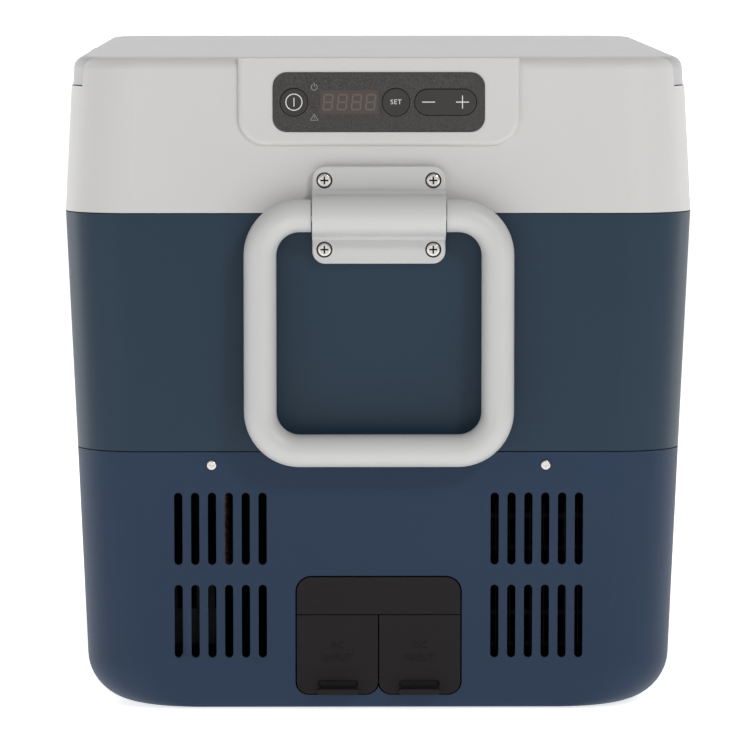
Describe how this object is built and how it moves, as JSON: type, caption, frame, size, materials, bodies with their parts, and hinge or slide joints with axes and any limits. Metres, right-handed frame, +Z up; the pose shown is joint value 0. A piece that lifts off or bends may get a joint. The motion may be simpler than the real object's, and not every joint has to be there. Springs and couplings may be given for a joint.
{
  "type": "compressor cooler fridge",
  "caption": "Chest-type portable compressor cooler with hinged insulated lid, swing carrying handles, front control panel and covered power inlets.",
  "frame": {"origin": "on the floor under the centre of the cabinet", "axes": "+Z up, +Y along the length away from the control panel, +X across the width"},
  "size_m": [0.3836, 0.64, 0.4005],
  "materials": {
    "grey_plastic": "fine texture",
    "blue_upper": "satin",
    "blue_lower": "fine texture",
    "handle_grey": "satin",
    "rubber_black": "matt",
    "panel_dark": "fine texture",
    "button_dark": "satin",
    "screw_steel": "zinc plated",
    "steel": "plain",
    "liner_white": "satin",
    "foam": "closed-cell foam",
    "gasket_black": "matt",
    "copper": "drawn",
    "fin_aluminium": "plain",
    "compressor_black": "gloss",
    "board_green": "solder mask",
    "display_black": "smoked",
    "lamp_white": "diffuse",
    "fan_black": "satin"
  },
  "bodies": {
    "cabinet": {"base_housing": "blue_lower", "socket_well": "fan_black", "rubber_feet": "rubber_black", "upper_shell": "blue_upper", "top_collar": "grey_plastic", "inner_liner": "liner_white", "evaporator_plate": "fin_aluminium", "interior_lamp": "lamp_white", "bay_partition": "liner_white", "insulation_foam": "foam", "front_backplate": "steel", "rear_backplate": "steel", "front_handle_bracket": "handle_grey", "rear_handle_bracket": "handle_grey", "front_handle_axle": "steel", "rear_handle_axle": "steel", "bracket_screws": "screw_steel", "base_screws": "screw_steel", "hinge_pins": "steel", "control_overlay": "panel_dark", "control_bezel": "panel_dark", "display_module": "display_black", "control_board": "board_green", "key_switches": "display_black", "status_leds": "lamp_white", "socket_cover": "rubber_black", "ac_inlet": "display_black", "dc_inlet": "display_black", "mounting_plate": "steel", "compressor_grommets": "rubber_black", "compressor": "compressor_black", "condenser_coil": "copper", "condenser_fins": "fin_aluminium", "fan_frame": "fan_black", "fan_bracket": "fan_black", "drive_module": "fin_aluminium", "module_bracket": "fan_black", "filter_drier": "copper", "discharge_pipe": "copper", "suction_pipe": "copper"},
    "lid": {"lid_outer": "grey_plastic", "lid_liner": "liner_white", "lid_gasket": "gasket_black", "lid_foam": "foam", "latch_pin": "steel"},
    "latch": {"latch_lever": "handle_grey"},
    "front_handle": {"front_handle": "handle_grey"},
    "rear_handle": {"rear_handle": "handle_grey"},
    "power_button": {"power_button": "button_dark"},
    "set_button": {"set_button": "button_dark"},
    "rocker_button": {"rocker_button": "button_dark"},
    "ac_flap": {"ac_flap": "rubber_black"},
    "dc_flap": {"dc_flap": "rubber_black"},
    "fan_rotor": {"fan_rotor": "fan_black"}
  },
  "joints": [
    {"name": "lid_hinge", "type": "hinge", "parent": "cabinet", "child": "lid", "pos_m": [0.1872, 0, 0.3828], "axis": [0, 1, 0], "range_deg": [0, 95]},
    {"name": "latch_pivot", "type": "hinge", "parent": "lid", "child": "latch", "pos_m": [-0.1871, 0.01, 0.3915], "axis": [0, 1, 0], "range_deg": [0, 60]},
    {"name": "front_handle_pivot", "type": "hinge", "parent": "cabinet", "child": "front_handle", "pos_m": [0, -0.308, 0.3053], "axis": [-1, 0, 0], "range_deg": [-2, 172]},
    {"name": "rear_handle_pivot", "type": "hinge", "parent": "cabinet", "child": "rear_handle", "pos_m": [0, 0.308, 0.3053], "axis": [1, 0, 0], "range_deg": [-2, 172]},
    {"name": "power_press", "type": "slide", "parent": "cabinet", "child": "power_button", "axis": [0, 0.9988, -0.0486], "range_m": [0, 0.0008], "stiffness_N_per_m": 400},
    {"name": "set_press", "type": "slide", "parent": "cabinet", "child": "set_button", "axis": [0, 0.9988, -0.0486], "range_m": [0, 0.0008], "stiffness_N_per_m": 400},
    {"name": "rocker_tilt", "type": "hinge", "parent": "cabinet", "child": "rocker_button", "pos_m": [0.0405, -0.29392, 0.37341], "axis": [0, 0.0486, 0.9988], "range_deg": [-3, 3], "stiffness_Nm_per_rad": 0.5},
    {"name": "ac_flap_hinge", "type": "hinge", "parent": "cabinet", "child": "ac_flap", "pos_m": [0, -0.28422, 0.0592], "axis": [-1, 0, 0], "range_deg": [0, 105]},
    {"name": "dc_flap_hinge", "type": "hinge", "parent": "cabinet", "child": "dc_flap", "pos_m": [0, -0.28422, 0.0592], "axis": [-1, 0, 0], "range_deg": [0, 105]},
    {"name": "fan_spin", "type": "hinge", "parent": "cabinet", "child": "fan_rotor", "pos_m": [0.112, -0.23, 0.0805], "axis": [0, 1, 0], "continuous": true}
  ]
}
